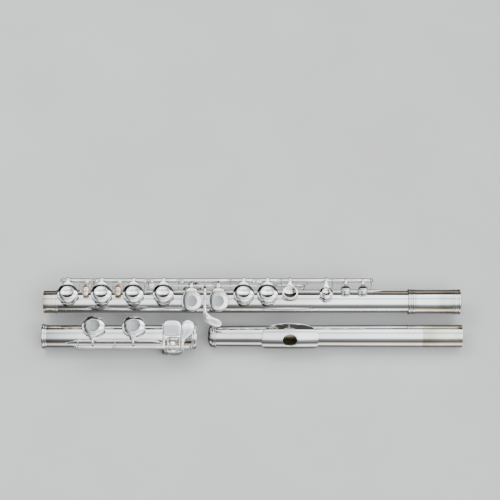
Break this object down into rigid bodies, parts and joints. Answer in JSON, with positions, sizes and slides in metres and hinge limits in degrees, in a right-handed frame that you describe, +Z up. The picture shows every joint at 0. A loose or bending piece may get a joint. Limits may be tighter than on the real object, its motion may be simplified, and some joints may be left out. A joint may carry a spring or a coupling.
{
  "type": "concert flute",
  "caption": "Closed-hole concert flute with offset G and C foot, taken apart into body, head joint and foot joint, with hinged keys, pads and a corked stopper.",
  "frame": {"origin": "on the floor under the middle of the three laid-out sections", "axes": "+X along the tubes towards the barrel and the head tenon, +Y from the front row (head and foot joints) to the body, +Z up, the way the key cups face"},
  "size_m": [0.3684, 0.0674, 0.0382],
  "materials": {
    "silver_plate": "mirror-polished silver plate",
    "nickel_silver": "polished nickel silver",
    "steel": "ground rod steel",
    "pad_skin": "thin fish skin stretched over felt",
    "cork": "fine-grained natural cork"
  },
  "bodies": {
    "body": {"body_tube": "silver_plate", "tenon_ring": "silver_plate", "barrel": "silver_plate", "main_rib": "silver_plate", "thumb_steel": "steel"},
    "d_key": {"d_key": "silver_plate", "d_pad": "pad_skin"},
    "e_key": {"e_key": "silver_plate", "e_pad": "pad_skin"},
    "f_key": {"f_key": "silver_plate", "f_pad": "pad_skin"},
    "f_sharp_key": {"f_sharp_key": "silver_plate", "f_sharp_pad": "pad_skin"},
    "g_key": {"g_key": "silver_plate", "lower_g_pad": "pad_skin", "g_pad": "pad_skin"},
    "a_key": {"a_key": "silver_plate", "a_pad": "pad_skin"},
    "b_flat_key": {"b_flat_key": "silver_plate", "b_flat_pad": "pad_skin"},
    "c_sharp_key": {"c_sharp_key": "silver_plate", "c_sharp_pad": "pad_skin"},
    "d_trill_key": {"d_trill_key": "silver_plate", "d_trill_pad": "pad_skin"},
    "d_sharp_trill_key": {"d_sharp_trill_key": "silver_plate", "d_sharp_trill_pad": "pad_skin"},
    "d_trill_touch": {"d_trill_touch": "silver_plate"},
    "d_sharp_trill_touch": {"d_sharp_trill_touch": "silver_plate"},
    "b_flat_lever": {"b_flat_lever": "silver_plate"},
    "g_sharp_key": {"g_sharp_key": "silver_plate", "g_sharp_pad": "pad_skin"},
    "thumb_key": {"thumb_key": "silver_plate", "thumb_pad": "pad_skin"},
    "thumb_b_flat_lever": {"thumb_b_flat_lever": "silver_plate"},
    "head": {"head_tube": "silver_plate", "lip_plate": "silver_plate", "riser": "silver_plate"},
    "crown": {"crown": "silver_plate"},
    "stopper": {"stopper_screw": "nickel_silver", "stopper_cork": "cork", "stopper_plate": "nickel_silver"},
    "foot": {"foot_tube": "silver_plate", "foot_socket": "silver_plate", "foot_rib": "silver_plate"},
    "foot_c_key": {"foot_c_key": "silver_plate", "foot_c_pad": "pad_skin"},
    "foot_c_roller": {"foot_c_roller": "nickel_silver"},
    "foot_c_sharp_key": {"foot_c_sharp_key": "silver_plate", "foot_c_sharp_pad": "pad_skin"},
    "foot_d_sharp_key": {"foot_d_sharp_key": "silver_plate", "foot_d_sharp_pad": "pad_skin"}
  },
  "joints": [
    {"name": "d_close", "type": "hinge", "parent": "body", "child": "d_key", "pos_m": [-0.1613, 0.0317, 0.0263], "axis": [1, 0, 0], "range_deg": [0, 8.44]},
    {"name": "e_close", "type": "hinge", "parent": "body", "child": "e_key", "pos_m": [-0.1318, 0.0317, 0.0263], "axis": [1, 0, 0], "range_deg": [0, 8.44]},
    {"name": "f_close", "type": "hinge", "parent": "body", "child": "f_key", "pos_m": [-0.104, 0.0317, 0.0263], "axis": [1, 0, 0], "range_deg": [0, 8.44]},
    {"name": "f_sharp_close", "type": "hinge", "parent": "body", "child": "f_sharp_key", "pos_m": [-0.0777, 0.0317, 0.0263], "axis": [1, 0, 0], "range_deg": [0, 8.44]},
    {"name": "a_close", "type": "hinge", "parent": "body", "child": "a_key", "pos_m": [-0.0074, 0.0317, 0.0263], "axis": [1, 0, 0], "range_deg": [0, 8.44]},
    {"name": "b_flat_close", "type": "hinge", "parent": "body", "child": "b_flat_key", "pos_m": [0.0135, 0.0317, 0.0263], "axis": [1, 0, 0], "range_deg": [0, 8.44]},
    {"name": "c_sharp_close", "type": "hinge", "parent": "body", "child": "c_sharp_key", "pos_m": [0.0649, 0.0317, 0.0263], "axis": [1, 0, 0], "range_deg": [0, 8.44]},
    {"name": "g_close", "type": "hinge", "parent": "body", "child": "g_key", "pos_m": [-0.0412, 0.0317, 0.0263], "axis": [1, 0, 0], "range_deg": [0, 6.5]},
    {"name": "d_trill_press", "type": "hinge", "parent": "body", "child": "d_trill_touch", "pos_m": [-0.1178, 0.0266, 0.0263], "axis": [1, 0, 0], "range_deg": [0, 9]},
    {"name": "d_trill_open", "type": "hinge", "parent": "body", "child": "d_trill_key", "pos_m": [0.0823, 0.0317, 0.0263], "axis": [-1, 0, 0], "range_deg": [0, 9]},
    {"name": "d_sharp_trill_press", "type": "hinge", "parent": "body", "child": "d_sharp_trill_touch", "pos_m": [-0.146, 0.0266, 0.0263], "axis": [1, 0, 0], "range_deg": [0, 9]},
    {"name": "d_sharp_trill_open", "type": "hinge", "parent": "body", "child": "d_sharp_trill_key", "pos_m": [0.0974, 0.0317, 0.0263], "axis": [-1, 0, 0], "range_deg": [0, 9]},
    {"name": "b_flat_lever_press", "type": "hinge", "parent": "body", "child": "b_flat_lever", "pos_m": [-0.0886, 0.0266, 0.0263], "axis": [1, 0, 0], "range_deg": [0, 8]},
    {"name": "g_sharp_open", "type": "hinge", "parent": "body", "child": "g_sharp_key", "pos_m": [-0.0413, 0.0266, 0.0263], "axis": [1, 0, 0], "range_deg": [0, 8]},
    {"name": "thumb_close", "type": "hinge", "parent": "body", "child": "thumb_key", "pos_m": [0.0332, 0.0312, 0.0165], "axis": [-1, 0, 0], "range_deg": [0, 10.65]},
    {"name": "thumb_b_flat_press", "type": "hinge", "parent": "body", "child": "thumb_b_flat_lever", "pos_m": [0.042, 0.0312, 0.0165], "axis": [-1, 0, 0], "range_deg": [0, 7]},
    {"name": "head_apart", "type": "slide", "parent": "body", "child": "head", "axis": [0, -1, 0], "range_m": [0, 0.05]},
    {"name": "crown_turn", "type": "hinge", "parent": "head", "child": "crown", "pos_m": [-0.035, -0.0146, 0.0102], "axis": [1, 0, 0], "range_deg": [-360, 360]},
    {"name": "stopper_slide", "type": "slide", "parent": "head", "child": "stopper", "axis": [1, 0, 0], "range_m": [-0.0008, 0.0008]},
    {"name": "foot_apart", "type": "slide", "parent": "body", "child": "foot", "axis": [0, -1, 0], "range_m": [0, 0.05]},
    {"name": "foot_c_close", "type": "hinge", "parent": "foot", "child": "foot_c_key", "pos_m": [-0.1382, -0.03046, 0.02384], "axis": [-1, 0, 0], "range_deg": [0, 8.44]},
    {"name": "foot_c_sharp_close", "type": "hinge", "parent": "foot", "child": "foot_c_sharp_key", "pos_m": [-0.1031, -0.03046, 0.02384], "axis": [-1, 0, 0], "range_deg": [0, 8.44]},
    {"name": "foot_d_sharp_open", "type": "hinge", "parent": "foot", "child": "foot_d_sharp_key", "pos_m": [-0.07, -0.03046, 0.02384], "axis": [-1, 0, 0], "range_deg": [0, 9]},
    {"name": "roller_spin", "type": "hinge", "parent": "foot_c_key", "child": "foot_c_roller", "pos_m": [-0.068, -0.02409, 0.02626], "axis": [1, 0, 0], "continuous": true}
  ],
  "couplings": [
    {"joint": "f_sharp_close", "follows": "f_close", "ratio": 1},
    {"joint": "b_flat_close", "follows": "a_close", "ratio": 1},
    {"joint": "d_trill_open", "follows": "d_trill_press", "ratio": 1},
    {"joint": "d_sharp_trill_open", "follows": "d_sharp_trill_press", "ratio": 1},
    {"joint": "stopper_slide", "follows": "crown_turn", "m_per_rad": 0.00011937}
  ]
}
